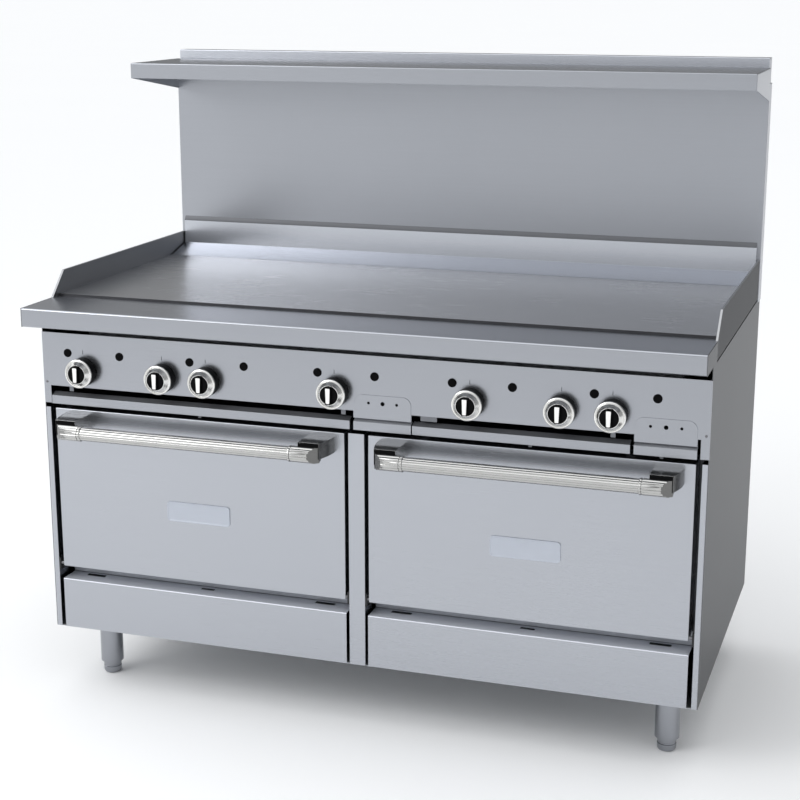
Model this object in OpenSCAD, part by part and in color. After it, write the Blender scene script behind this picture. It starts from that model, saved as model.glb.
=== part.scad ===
// Commercial gas range with a full-width griddle, two ovens and a high shelf.
// X runs to the right, Y to the back, Z up. The origin is on the floor, under the middle of the range.
// Depths are counted backwards from the face of the doors, so a negative depth stands in front of them.

/* [Overall size] */
// Width over the two side panels
body_w = 1500; // [1490:2:1510]
// Depth from the front rail to the back of the backguard
total_d = 876; // [872:2:884]
// Height to the top of the backguard
total_h = 1448; // [1440:2:1480]
// Height of the front rail's top
rail_top = 925; // [923:1:927]
// Clear height under the body
leg_h = 152; // [148:1:156]

/* [Front] */
// How far the rail stands in front of the doors
rail_reach = 84; // [80:1:88]
// Height of the rail's front face
rail_h = 42; // [38:1:43]
// Bottom edge of the control panel
panel_bottom = 692.5; // [691:0.5:694]
// Top of the two slots that the crumb trays slide in
slot_top = 733.5; // [731:0.5:736]
// Width of the post between the doors
center_post_w = 37; // [35:1:38]
// Width of the posts at the sides
side_post_w = 13.5; // [12:0.5:14]
// Top of the kick panels
kick_top = 271; // [265:1:275]

/* [Doors] */
// Width of one door
door_w = 698; // [694:1:700]
// Height of one door
door_h = 380; // [376:1:382]
// Bottom edge of the doors
door_bottom = 301.5; // [300:0.5:303]
// Thickness of a door
door_t = 50; // [46:1:50]
// Distance of the handle bar's axis from the door
handle_reach = 64; // [58:1:66]
// Height of the handle bar's axis
handle_z = 645; // [640:1:650]
// Radius of the handle bar
handle_r = 15.5; // [14:0.5:16]
// Length of the handle over its brackets
handle_span = 644; // [620:2:650]
// Width of one handle bracket
bracket_w = 56; // [50:1:60]

/* [Griddle] */
// Top of the griddle plate
plate_top = 930; // [928:1:932]
// Thickness of the griddle plate
plate_t = 25; // [19:1:26]
// Depth of the plate's front edge
plate_front = 78; // [74:1:84]
// Depth of the plate's back edge
plate_back = 655; // [645:1:660]
// Thickness of the side splashes
splash_t = 5; // [4:0.5:6]
// Top of the side splashes
splash_top = 980; // [970:1:990]

/* [Backguard and shelf] */
// Width of the backguard under the shelf
guard_w = 1503; // [1500:1:1504]
// Depth of the backguard's front face
guard_front = 742; // [738:1:746]
// How far the backguard's top is set back and in
guard_step = 10; // [6:1:14]
// Depth of the splash strip's face in front of the backguard
riser_face = 736; // [728:1:737]
// Top of the splash strip's face
riser_top = 1009; // [1000:1:1015]
// Width of the high shelf
shelf_w = 1504; // [1502:1:1508]
// Depth of the high shelf's front edge
shelf_front = 482; // [470:1:500]
// Top of the high shelf
shelf_top = 1426; // [1410:1:1430]
// Height of the lip along the shelf's front
shelf_lip = 36; // [30:1:42]
// Height of the shelf's end plates at the backguard
gusset_h = 75; // [60:1:90]

/* [Controls] */
// Top edge of the control panel
panel_top = 856; // [850:1:860]
// Height of the knobs' axes
knob_z = 771; // [770:0.5:772]
// Distance between two griddle burners, and between their knobs
burner_pitch = 300; // [298:1:302]
// Distance from a griddle knob to the oven knob beside it
oven_knob_step = 194.5; // [180:0.5:200]
// Radius of the knobs' rings
ring_r = 33; // [31:0.5:34]
// Height of the hole plugs
plug_z = 811; // [808:1:815]
// Radius of the hole plugs
plug_r = 9.5; // [9:0.5:12]

/* [Ovens] */
// Width inside an oven
oven_w = 666; // [650:2:668]
// Height inside an oven
oven_h = 330; // [320:1:332]
// Depth inside an oven
oven_d = 559; // [520:1:570]
// Height of the oven floor
oven_floor = 320; // [319:0.5:321]

/* [Legs] */
// Distance of the legs from the middle
leg_x = 672; // [650:1:680]
// Depth of the front legs
leg_front = 116; // [100:1:130]
// Depth of the rear legs
leg_rear = 700; // [650:1:710]
// Radius of the leg tubes
leg_r = 27; // [25:0.5:30]
// Radius of the adjustable feet
foot_r = 21; // [19:0.5:22]
// How much of a foot shows below its leg
foot_show = 30; // [26:1:40]

/* [Hidden] */
$fn = 64;

left = -1;
right = 1;
sheet = 1.5;          // thickness of the panels
seam = 0.1;           // gap between neighbouring pieces
fit = 0.05;           // radial clearance of a turning or sliding fit

front_y = rail_reach - total_d / 2;
back_depth = total_d - rail_reach;
side_x = body_w / 2;
inner_x = side_x - sheet - seam;
rail_bottom = rail_top - rail_h;
body_back = back_depth - 6;

door_cx = center_post_w / 2 + 8.25 + door_w / 2;
door_top = door_bottom + door_h;
pivot_depth = 6;
pivot_z = door_bottom + 6;
pin_r = 4;
pin_gap = 0.75;       // from a hinge pin's end to the post
outer_gap = side_x - side_post_w - door_cx - door_w / 2;
center_gap = door_cx - door_w / 2 - center_post_w / 2;

liner_t = 2.5;         // thickness of a door's inner panel
gasket_t = 2.5;
flange_depth = door_t + gasket_t + 1;

kick_x0 = center_post_w / 2 + 6.8;
kick_x1 = side_x - side_post_w - 10;

tray_bottom = panel_bottom - 1;
strip_top = tray_bottom + 26;
strip_back = 14;
tray_left_x = [-side_x + 18.5, -14];
tray_right_x = [126, 590];
slot_left_x = [-side_x + 17, -5.5];
slot_right_x = [124.5, 597.5];
slot_end_x = [725.5, 732];
sill_top = strip_top + sheet;
sill_x = [[slot_left_x[1], slot_right_x[0] - 1], [slot_right_x[1], slot_end_x[0]]];
tray_len = 560;

first_knob = -2 * burner_pitch - 48.5;
griddle_knob_x = [for (i = [0:4]) first_knob + i * burner_pitch];
oven_knob_x = [for (i = [0, 3]) griddle_knob_x[i] + oven_knob_step];
knob_x = [
    griddle_knob_x[0], oven_knob_x[0], griddle_knob_x[1], griddle_knob_x[2],
    griddle_knob_x[3], oven_knob_x[1], griddle_knob_x[4]
];
plug_steps = [-38, 91];
plug_neck_r = 7;
stem_r = 4;
stem_depth = 28;

pipe_r = 13.35;
manifold_depth = 40;
manifold_z = 748;
inlet_x = 712;
inlet_r = 16.7;
inlet_len = 50;
box_x = 680;
box_front = 90;
box_floor = 738;
oven_burner_z = 240;
oven_burner_r = 18;
venturi_z = 780;
burner_z = 850;

rack_z = 395;
riser_foot = plate_back + 0.5;
cover_x = [60.5, 661.5];
cover_hole_x = [-31.5, 0, 31.5];
cover_hole_r = [3, 4.5, 3];
cover_hole_z = panel_bottom + 60.5;

// A box whose depths are counted from the door faces
module block(x0, x1, d0, d1, z0, z1) {
    translate([x0, front_y + d0, z0]) cube([x1 - x0, d1 - d0, z1 - z0]);
}

// An outline drawn as [depth, height], run from x0 to x1
module along_x(x0, x1) {
    translate([x0, front_y, 0]) rotate([90, 0, 90]) linear_extrude(x1 - x0) children();
}

// A round bar along X
module rod_x(x0, x1, d, z, r) {
    translate([x0, front_y + d, z]) rotate([0, 90, 0]) cylinder(h = x1 - x0, r = r);
}

// A round bar along Y
module rod_y(x, z, d0, d1, r) {
    translate([x, front_y + d0, z]) rotate([-90, 0, 0]) cylinder(h = d1 - d0, r = r);
}

// A rectangle with round corners, about the origin
module rounded(w, h, r) {
    square([w - 2 * r, h], center = true);
    square([w, h - 2 * r], center = true);
    for (x = [-1, 1], y = [-1, 1]) translate([x * (w / 2 - r), y * (h / 2 - r)]) circle(r);
}

// The strip below the control panel: a tray's front, or the fixed sill between the trays
module rolled_front(x0, x1) {
    along_x(x0, x1) polygon([
        [-1, tray_bottom], [-1, tray_bottom + 19], [strip_back, strip_top],
        [strip_back, strip_top - sheet], [0.5, tray_bottom + 18], [0.5, tray_bottom]
    ]);
}

// The children on the left for side -1, mirrored to the right for side 1
module on_side(side) {
    if (side == left) children();
    else mirror([1, 0, 0]) children();
}

// ---- Body ----

module side_panel(side) {
    nose_back = 49;
    step_z = panel_bottom - seam;
    color("lightslategray") on_side(side) along_x(-side_x, -side_x + sheet) polygon([
        [0, leg_h], [body_back, leg_h], [body_back, rail_bottom - 6], [guard_front - 1, rail_bottom - 6],
        [guard_front - 1, rail_bottom - 0.5], [nose_back, rail_bottom - 0.5], [nose_back, rail_top],
        [-rail_reach, rail_top], [-rail_reach, rail_bottom], [sheet + seam, rail_bottom],
        [sheet + seam, step_z], [0, step_z]
    ]);
}

module rear_panel() {
    color("gray") difference() {
        block(-inner_x, inner_x, body_back - sheet, body_back, leg_h + sheet + seam, rail_bottom - 6);
        rod_y(inlet_x, manifold_z, body_back - 10, body_back + 10, inlet_r + 3);
    }
}

module base_pan() {
    color("gray") block(-inner_x, inner_x, sheet + seam, body_back, leg_h, leg_h + sheet);
}

module front_post_side(side) {
    post_top = panel_bottom - 10;
    edge = -side_x + side_post_w;
    color("silver") on_side(side) {
        block(-inner_x, edge, 0, sheet, leg_h, post_top);
        block(edge - sheet, edge, sheet + seam, 45, leg_h + 2 * sheet, post_top);
    }
}

module front_post_center() {
    half = center_post_w / 2;
    post_top = panel_bottom - 10;
    color("silver") {
        block(-half, half, 0, sheet, leg_h, post_top);
        for (x = [-half, half - sheet]) {
            block(x, x + sheet, sheet + seam, 45, leg_h + 2 * sheet, post_top);
        }
    }
}

module kick_panel(side) {
    slot_w = 46;
    flange_back = flange_depth - 1;
    color("silver") on_side(side) {
        block(-kick_x1, -kick_x0, 0, sheet, leg_h, kick_top);
        difference() {
            block(-kick_x1, -kick_x0, sheet + seam, flange_back, kick_top - sheet, kick_top);
            for (x = [-door_cx - 286, -door_cx + 286]) {
                block(x - slot_w / 2, x + slot_w / 2, 34, 46, kick_top - 5, kick_top + 5);
            }
            block(-door_cx - 16, -door_cx + 16, 33, 42, kick_top - 5, kick_top + 5);
        }
    }
}

module front_rail() {
    plate = 2;
    bend_r = 4;
    back = plate_front - seam;
    corner = [bend_r - rail_reach, rail_top - bend_r];
    color("silver") difference() {
        along_x(-inner_x, inner_x) difference() {
            union() {
                translate([-rail_reach, rail_bottom]) square([plate, rail_h - bend_r]);
                translate([corner[0], rail_top - plate]) square([back - corner[0], plate]);
                translate([-rail_reach, rail_bottom]) square([20, plate]);
                intersection() {
                    translate(corner) circle(bend_r);
                    translate([-rail_reach, corner[1]]) square(bend_r);
                }
            }
            translate(corner) circle(bend_r - plate);
        }
        for (side = [left, right]) on_side(side) {
            block(-side_x, -side_x + splash_t + seam, 49.9, back + 1, rail_bottom, rail_top + 1);
        }
    }
}

// ---- Griddle ----

module griddle_plate() {
    half = side_x - splash_t - seam;
    color("darkgray") block(-half, half, plate_front, plate_back, plate_top - plate_t, plate_top);
}

module side_splash(side) {
    foot = rail_bottom + 2.5;
    color("silver") on_side(side) along_x(-side_x, -side_x + splash_t) polygon([
        [50, foot], [guard_front - 1, foot], [guard_front - 1, splash_top],
        [104, splash_top], [50, rail_top + 1]
    ]);
}

module rear_riser() {
    half = guard_w / 2 - 9.5;
    bend_z = plate_top + 21;
    back = guard_front - seam;
    crest = riser_top + 12;
    color("silver") along_x(-half, half) polygon([
        [riser_foot, plate_top + seam], [riser_face, bend_z], [riser_face, riser_top], [back, crest],
        [back, crest - 3], [riser_face + sheet, riser_top - 0.6],
        [riser_face + sheet, bend_z - 1], [riser_foot + 6, plate_top + seam]
    ]);
}

module burner_box() {
    top = plate_top - plate_t - seam;
    back = plate_back - 10;
    wall = 2;
    inside = box_x - wall - seam;
    foot = box_floor + wall + seam;
    color("dimgray") {
        block(-box_x, box_x, box_front, back, box_floor, box_floor + wall);
        for (x = [-box_x, box_x - wall]) block(x, x + wall, box_front, back, foot, top);
        block(-inside, inside, back - wall, back, foot, top);
        difference() {
            block(-inside, inside, box_front, box_front + wall, foot, top);
            for (i = [-2:2]) rod_y(i * burner_pitch, venturi_z, box_front - 5, box_front + 10, 18);
        }
    }
}

module griddle_burners() {
    color("dimgray") for (i = [-2:2]) {
        x = i * burner_pitch;
        rod_y(x, venturi_z, box_front - 6, 170, 13);
        translate([x, front_y + 157, venturi_z]) cylinder(h = burner_z - venturi_z, r = 12);
        rod_y(x, burner_z, 140, 620, 20);
        translate([x - 4, front_y + 590, box_floor + 2 + seam]) cube([8, 12, burner_z - box_floor - 15]);
    }
}

// ---- Backguard and shelf ----

// The front and the two sides of a sheet metal box that is open to the back
module guard_shell(half, front, z0, z1) {
    block(-half, half, front, front + sheet, z0, z1);
    for (x = [-half, half - sheet]) block(x, x + sheet, front + sheet + seam, back_depth, z0, z1);
}

module backguard() {
    foot = rail_bottom - 5;
    step_z = shelf_top - shelf_lip;
    top_half = guard_w / 2 - guard_step / 3;
    top_front = guard_front + guard_step;
    inside = top_half - sheet - seam;
    color("silver") {
        guard_shell(guard_w / 2, guard_front, foot, step_z);
        guard_shell(top_half, top_front, step_z + seam, total_h);
        block(-inside, inside, top_front + sheet + seam, back_depth, total_h - sheet, total_h);
        block(-inside, inside, back_depth - sheet, back_depth, foot, total_h - sheet - seam);
    }
}

module high_shelf() {
    half = shelf_w / 2;
    back = guard_front - seam;
    under = shelf_top - sheet - seam;
    gusset_front = shelf_front + sheet + seam;
    color("silver") {
        block(-half, half, shelf_front, back, shelf_top - sheet, shelf_top);
        block(-half, half, shelf_front, shelf_front + sheet, shelf_top - shelf_lip, under);
        for (side = [left, right]) on_side(side) along_x(-half, -half + sheet) polygon([
            [gusset_front, shelf_top - shelf_lip], [back, shelf_top - gusset_h],
            [back, under], [gusset_front, under]
        ]);
    }
}

// ---- Controls ----

module control_panel() {
    color("silver") difference() {
        block(-side_x, side_x, 0, sheet, panel_bottom, panel_top);
        block(slot_left_x[0], slot_end_x[1], -5, 5, panel_bottom - 5, sill_top);
        for (slot = [slot_left_x, slot_right_x, slot_end_x]) {
            block(slot[0], slot[1], -5, 5, panel_bottom - 5, slot_top);
        }
        for (x = knob_x) rod_y(x, knob_z, -5, 5, 7);
        for (x = griddle_knob_x, step = plug_steps) rod_y(x + step, plug_z, -5, 5, plug_neck_r + 1);
        for (x = cover_x, i = [0:2]) rod_y(x + cover_hole_x[i], cover_hole_z, -5, 5, cover_hole_r[i]);
    }
    color("silver") for (span = sill_x) {
        rolled_front(span[0], span[1]);
        block(span[0], span[1], sheet + seam, strip_back, strip_top + seam, sill_top + sheet);
    }
}

module hole_plugs() {
    color("black") for (x = griddle_knob_x, step = plug_steps) {
        rod_y(x + step, plug_z, -2.5, -seam, plug_r);
        rod_y(x + step, plug_z, -seam - 0.5, 8, plug_neck_r);
    }
}

module cover_plates() {
    plate_w = 126;
    plate_h = 51.5;
    color("silver") for (x = cover_x) {
        translate([x, front_y - seam, sill_top]) rotate([90, 0, 0]) linear_extrude(1) difference() {
            union() {
                translate([0, plate_h / 2]) rounded(plate_w, plate_h, 18);
                translate([-plate_w / 2, 0]) square([plate_w, plate_h / 2]);
            }
            for (i = [0:2]) translate([cover_hole_x[i], cover_hole_z - sill_top]) circle(cover_hole_r[i]);
        }
    }
}

module panel_screws() {
    color("gray") for (x = [-1, 1]) rod_y(x * (side_x - 8), panel_bottom + 49, -1.5, -seam, 3);
}

module gas_manifold() {
    color("dimgray") rod_x(-700, inlet_x - 18, manifold_depth, manifold_z, pipe_r);
}

module griddle_valves() {
    top = manifold_z + pipe_r + seam;
    color("goldenrod") for (x = griddle_knob_x) difference() {
        union() {
            block(x - 14, x + 14, 16, 62, top, top + 32);
            rod_y(x, knob_z, 6, 20, 9);
            rod_y(x, top + 20, 60, 78, 7);
        }
        rod_y(x, knob_z, 0, stem_depth + 2, stem_r + fit);
    }
}

module oven_thermostats() {
    top = manifold_z + pipe_r + seam;
    color("silver") for (x = oven_knob_x) difference() {
        union() {
            block(x - 30, x + 30, 16, 66, top, top + 52);
            rod_y(x, knob_z, 6, 20, 9);
        }
        rod_y(x, knob_z, 0, stem_depth + 2, stem_r + fit);
    }
}

module gas_inlet() {
    elbow = 17;
    color("dimgray") {
        block(inlet_x - elbow, inlet_x + elbow, manifold_depth - elbow, manifold_depth + elbow,
            manifold_z - elbow, manifold_z + elbow);
        rod_y(inlet_x, manifold_z, manifold_depth + elbow - 1, back_depth - inlet_len, 13);
        rod_y(inlet_x, manifold_z, back_depth - inlet_len, back_depth, inlet_r);
    }
}

module knob(i) {
    x = knob_x[i];
    skirt = 23;
    face = 36;
    face_r = 20.5;
    bezel = 4;
    color("black") {
        rod_y(x, knob_z, -skirt, -1.5, ring_r - 0.6);
        rod_y(x, knob_z, -face, -skirt + 1, face_r);
        block(x - 6.5, x + 6.5, -42, -face + 1, knob_z - 19, knob_z + 19);
        rod_y(x, knob_z, -2, stem_depth, stem_r);
    }
    color("silver") difference() {
        union() {
            rod_y(x, knob_z, -skirt - bezel, -skirt - seam, ring_r);
            translate([x, front_y - skirt - bezel, knob_z]) rotate([90, 0, 0])
                cylinder(h = 7.5, r1 = ring_r - 4, r2 = face_r + 1);
        }
        rod_y(x, knob_z, -face - 1, -skirt + 1, face_r + 0.2);
    }
}

// ---- Crumb trays ----

module crumb_tray(span_x) {
    x0 = span_x[0];
    x1 = span_x[1];
    wall = 1.2;
    wall_top = tray_bottom + 22;
    color("silver") {
        rolled_front(x0, x1);
        block(x0 + 4, x1 - 4, 0.5 + seam, tray_len, tray_bottom + 3, tray_bottom + 3 + wall);
        for (x = [x0 + 4, x1 - 4 - wall]) {
            block(x, x + wall, 16, tray_len, tray_bottom + 3 + wall + seam, wall_top);
        }
        block(x0 + 6, x1 - 6, tray_len - wall, tray_len, tray_bottom + 3 + wall + seam, wall_top);
    }
}

module tray_runners() {
    color("gray") for (span_x = [tray_left_x, tray_right_x], x = [span_x[0] + 2, span_x[1] - 18]) {
        block(x, x + 16, 56, 640, tray_bottom + 1, tray_bottom + 2.6);
    }
}

// ---- Ovens ----

module oven_liner(side) {
    wall = 1.5;
    below = oven_floor - wall;
    x0 = -door_cx - oven_w / 2;
    x1 = -door_cx + oven_w / 2;
    front = flange_depth;
    back = front + oven_d;
    top = oven_floor + oven_h;
    outer_x0 = -side_x + side_post_w + 1;
    outer_x1 = -center_post_w / 2 - 1;
    flange_z0 = oven_floor - 40;
    flange_z1 = top + 36;
    color("steelblue") on_side(side) {
        block(x0, x1, front, back, below, oven_floor);
        block(x0, x1, front, back, top, top + wall);
        for (x = [x0 - wall - seam, x1 + seam]) block(x, x + wall, front, back, below, top + wall);
        block(x0, x1, back + seam, back + seam + wall, below, top + wall);
        block(outer_x0, x0 - wall - 2 * seam, front, front + wall, flange_z0, flange_z1);
        block(x1 + wall + 2 * seam, outer_x1, front, front + wall, flange_z0, flange_z1);
        block(x0 - wall, x1 + wall, front, front + wall, flange_z0, below - seam);
        block(x0 - wall, x1 + wall, front, front + wall, top + wall + seam, flange_z1);
        for (x = [x0 + seam, x1 - seam - 10]) {
            block(x, x + 10, front + 15, back - 15, rack_z - 7, rack_z - 4);
        }
    }
}

module oven_racks() {
    wire = 2.5;
    frame_r = 3.5;
    half_w = oven_w / 2 - 6;
    rack_front = flange_depth + 20;
    rack_back = flange_depth + oven_d - 20;
    step = 2 * half_w / 16;
    color("gainsboro") for (side = [left, right]) {
        cx = side * door_cx;
        for (d = [rack_front, (rack_front + rack_back) / 2, rack_back]) {
            rod_x(cx - half_w, cx + half_w, d, rack_z, frame_r);
        }
        for (i = [0:16]) rod_y(cx - half_w + i * step, rack_z + 3, rack_front - 3, rack_back + 3, wire);
    }
}

module oven_burners() {
    color("dimgray") for (side = [left, right]) {
        cx = side * door_cx;
        rod_y(cx, oven_burner_z, 110, 520, oven_burner_r);
        block(cx - 40, cx + 40, 300, 304, leg_h + sheet + seam, oven_burner_z - oven_burner_r - seam);
    }
}

// ---- Doors ----

module door_skin(side) {
    back = door_t - liner_t - seam;
    x0 = -door_cx - door_w / 2;
    x1 = -door_cx + door_w / 2;
    color("silver") on_side(side) {
        block(x0, x1, 0, sheet, door_bottom, door_top);
        for (x = [x0, x1 - sheet]) block(x, x + sheet, sheet + seam, back, door_bottom, door_top);
        for (z = [door_bottom, door_top - sheet]) {
            block(x0 + sheet + seam, x1 - sheet - seam, sheet + seam, back, z, z + sheet);
        }
    }
}

module door_liner(side) {
    stiffener = 20;
    back = door_t - liner_t;
    color("gray") on_side(side) {
        block(-door_cx - door_w / 2, -door_cx + door_w / 2, back, door_t, door_bottom, door_top);
        for (z = [door_bottom + 60, door_top - 80]) {
            block(-door_cx - 290, -door_cx + 290, back - seam - stiffener, back - seam, z, z + stiffener);
        }
    }
}

module door_gasket(side) {
    band = 12;
    middle = [-door_cx, front_y + door_t + seam + gasket_t, oven_floor + oven_h / 2];
    color("black") on_side(side) translate(middle) rotate([90, 0, 0]) linear_extrude(gasket_t) difference() {
        rounded(oven_w + 2 + 2 * band, oven_h + 2 + 2 * band, 20);
        rounded(oven_w + 2, oven_h + 2, 10);
    }
}

module handle_bar(side) {
    half = handle_span / 2 - 11;
    x0 = side * door_cx - half;
    x1 = side * door_cx + half;
    color("gainsboro") difference() {
        rod_x(x0, x1, -handle_reach, handle_z, handle_r);
        rod_x(x0 - 1, x1 + 1, -handle_reach, handle_z, handle_r - 2);
    }
}

module handle_brackets(side) {
    arm_top = handle_z + 26;
    arm_bottom = handle_z - 18;
    socket_r = handle_r + 2;
    outer = -handle_span / 2;
    color("gainsboro") for (end = [-1, 1]) {
        translate([side * door_cx, 0, 0]) on_side(end) difference() {
            union() {
                block(outer, outer + bracket_w, -handle_reach + 12, -seam, arm_bottom, arm_top);
                rod_x(outer + 4, outer + bracket_w, -handle_reach, handle_z, socket_r);
            }
            rod_x(outer + 10.8, outer + bracket_w + 5, -handle_reach, handle_z, handle_r + fit);
        }
    }
}

module door_badge(side) {
    color("white") translate([side * door_cx, front_y - seam, 464]) rotate([90, 0, 0])
        linear_extrude(2) rounded(153, 46, 6);
}

module hinge_pins(side) {
    outer = -door_cx - door_w / 2;
    inner = -door_cx + door_w / 2;
    color("gray") on_side(side) {
        rod_x(outer - outer_gap + pin_gap, outer, pivot_depth, pivot_z, pin_r);
        rod_x(inner, inner + center_gap - pin_gap, pivot_depth, pivot_z, pin_r);
    }
}

module hinge_brackets() {
    thick = 4.5;
    post_face = side_x - side_post_w;
    color("gray") for (x = [-post_face, -center_post_w / 2 - thick, center_post_w / 2, post_face - thick]) {
        difference() {
            block(x, x + thick, 0.5, 40, pivot_z - 16, pivot_z + 12);
            rod_x(x - 1, x + thick + 1, pivot_depth, pivot_z, pin_r + fit);
        }
    }
}

// ---- Legs and feet ----

module legs() {
    flange = 90;
    color("silver") for (x = [-leg_x, leg_x], d = [leg_front, leg_rear]) {
        block(x - flange / 2, x + flange / 2, d - flange / 2, d + flange / 2, leg_h - 4, leg_h - seam);
        difference() {
            translate([x, front_y + d, foot_show]) cylinder(h = leg_h - 4 - seam - foot_show, r = leg_r);
            translate([x, front_y + d, foot_show - 1]) cylinder(h = 80, r = foot_r + fit);
        }
    }
}

module foot(x, d) {
    tip = 5;
    color("silver") translate([x, front_y + d, 0]) {
        cylinder(h = tip, r1 = foot_r - 4, r2 = foot_r);
        translate([0, 0, tip]) cylinder(h = 68, r = foot_r);
    }
}

side_panel(left);  // side_panel_left
side_panel(right);  // side_panel_right
rear_panel();
base_pan();
front_post_side(left);  // front_post_left
front_post_center();
front_post_side(right);  // front_post_right
kick_panel(left);  // kick_panel_left
kick_panel(right);  // kick_panel_right
front_rail();
griddle_plate();
side_splash(left);  // side_splash_left
side_splash(right);  // side_splash_right
rear_riser();
burner_box();
backguard();
high_shelf();
control_panel();
hole_plugs();
cover_plates();
gas_manifold();
griddle_valves();
oven_thermostats();
griddle_burners();
oven_burners();
gas_inlet();
oven_liner(left);  // oven_liner_left
oven_liner(right);  // oven_liner_right
oven_racks();
legs();
hinge_brackets();
tray_runners();
panel_screws();
crumb_tray(tray_left_x);  // crumb_tray_left
crumb_tray(tray_right_x);  // crumb_tray_right
foot(-leg_x, leg_front);  // foot_front_left
foot(leg_x, leg_front);  // foot_front_right
foot(-leg_x, leg_rear);  // foot_rear_left
foot(leg_x, leg_rear);  // foot_rear_right
door_skin(left);  // door_skin_left
door_liner(left);  // door_liner_left
door_gasket(left);  // door_gasket_left
handle_bar(left);  // handle_bar_left
handle_brackets(left);  // handle_brackets_left
door_badge(left);  // door_badge_left
hinge_pins(left);  // hinge_pins_left
door_skin(right);  // door_skin_right
door_liner(right);  // door_liner_right
door_gasket(right);  // door_gasket_right
handle_bar(right);  // handle_bar_right
handle_brackets(right);  // handle_brackets_right
door_badge(right);  // door_badge_right
hinge_pins(right);  // hinge_pins_right
knob(0);  // knob_1
knob(1);  // knob_2
knob(2);  // knob_3
knob(3);  // knob_4
knob(4);  // knob_5
knob(5);  // knob_6
knob(6);  // knob_7
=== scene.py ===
"""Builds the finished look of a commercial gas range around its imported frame."""

import math

import bmesh
import bpy
from mathutils import Matrix, Vector


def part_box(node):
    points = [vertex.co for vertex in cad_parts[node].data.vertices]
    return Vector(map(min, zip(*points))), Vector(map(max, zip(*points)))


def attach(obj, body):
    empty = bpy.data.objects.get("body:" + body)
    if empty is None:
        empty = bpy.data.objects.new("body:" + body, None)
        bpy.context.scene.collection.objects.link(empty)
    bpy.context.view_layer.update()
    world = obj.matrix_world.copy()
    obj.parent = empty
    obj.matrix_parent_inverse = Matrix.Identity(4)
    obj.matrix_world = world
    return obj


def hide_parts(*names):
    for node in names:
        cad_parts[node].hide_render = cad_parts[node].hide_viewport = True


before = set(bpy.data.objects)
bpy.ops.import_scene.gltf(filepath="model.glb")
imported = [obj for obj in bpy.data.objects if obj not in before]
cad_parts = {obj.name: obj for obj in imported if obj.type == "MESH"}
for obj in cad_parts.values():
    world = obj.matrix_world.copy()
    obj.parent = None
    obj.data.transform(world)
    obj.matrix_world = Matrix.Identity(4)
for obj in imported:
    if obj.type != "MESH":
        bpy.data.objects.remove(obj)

bl_info = {
    "name": "Commercial gas range",
    "version": (1, 0, 0),
    "blender": (4, 5, 0),
    "location": "View3D > Sidebar > Range",
    "description": "Adds the panels, doors, handles, knobs and griddle of a commercial gas range",
    "category": "Add Mesh",
}

MM = 0.001
BODY = "range_frame"
SIDES = {"left": -1, "right": 1}
AXES = {"X": 0, "Y": 1, "Z": 2}
FRONT_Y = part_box("door_skin_left")[0].y
KNOBS = [f"knob_{number}" for number in range(1, 8)]
OVEN_KNOBS = ("knob_2", "knob_6")
FEET = [f"foot_{end}_{side}" for end in ("front", "rear") for side in SIDES]
PLUG_STEPS = (-38 * MM, 91 * MM)
SHELF_LIP = 36 * MM
TRAY_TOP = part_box("crumb_tray_left")[1].z
CUT = 10 * MM
HANDLE_ARM = 56 * MM
ARM_FLARE = 12 * MM
ARM_REACH = 62
ARM_STEPS = 4


# ---- Sizes and colours ----


class RangeSizes(bpy.types.PropertyGroup):
    """Sizes of the details that the finished pieces add."""

    fold: bpy.props.FloatProperty(
        name="Fold radius",
        description="Outer radius of a fold in the sheet metal",
        default=2.2 * MM, unit="LENGTH"
    )
    sheet: bpy.props.FloatProperty(
        name="Sheet thickness", description="Thickness of the panels", default=1.5 * MM, unit="LENGTH"
    )
    flutes: bpy.props.IntProperty(
        name="Handle flutes", description="Number of grooves round a handle bar", default=12
    )
    flute_depth: bpy.props.FloatProperty(
        name="Flute depth",
        description="Depth of the grooves along a handle bar",
        default=1.1 * MM, unit="LENGTH"
    )
    badge_rim: bpy.props.FloatProperty(
        name="Badge rim",
        description="Width of the raised rim round a blank badge",
        default=2.5 * MM, unit="LENGTH"
    )


class RangeColours(bpy.types.PropertyGroup):
    """Base colours of the main finishes."""

    stainless: bpy.props.FloatVectorProperty(
        name="Stainless",
        description="Colour of the satin panels",
        subtype="COLOR", default=(0.43, 0.445, 0.48)
    )
    # Painted shade: the side panels are the same stainless as the front, given this much darker colour so
    # that they look shaded.
    side: bpy.props.FloatVectorProperty(
        name="Side sheet",
        description="Colour of the two side panels",
        subtype="COLOR", default=(0.165, 0.168, 0.176)
    )
    # Painted shade: the splashes are stainless, given this darker colour to copy the shade on their inner
    # faces.
    splash: bpy.props.FloatVectorProperty(
        name="Splash",
        description="Colour of the griddle's splashes",
        subtype="COLOR", default=(0.38, 0.385, 0.395)
    )
    griddle: bpy.props.FloatVectorProperty(
        name="Griddle",
        description="Colour of the ground griddle plate",
        subtype="COLOR", default=(0.42, 0.425, 0.44)
    )
    bright: bpy.props.FloatVectorProperty(
        name="Bright metal",
        description="Colour of the handles and rings",
        subtype="COLOR", default=(0.50, 0.497, 0.485)
    )
    knob: bpy.props.FloatVectorProperty(
        name="Knob",
        description="Colour of the knobs and plugs",
        subtype="COLOR", default=(0.002, 0.002, 0.0023)
    )
    badge: bpy.props.FloatVectorProperty(
        name="Badge", description="Colour of the blank badges", subtype="COLOR", default=(0.46, 0.49, 0.55)
    )
    enamel: bpy.props.FloatVectorProperty(
        name="Enamel", description="Colour inside the ovens", subtype="COLOR", default=(0.012, 0.015, 0.024)
    )


# ---- Shader maths ----


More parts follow.
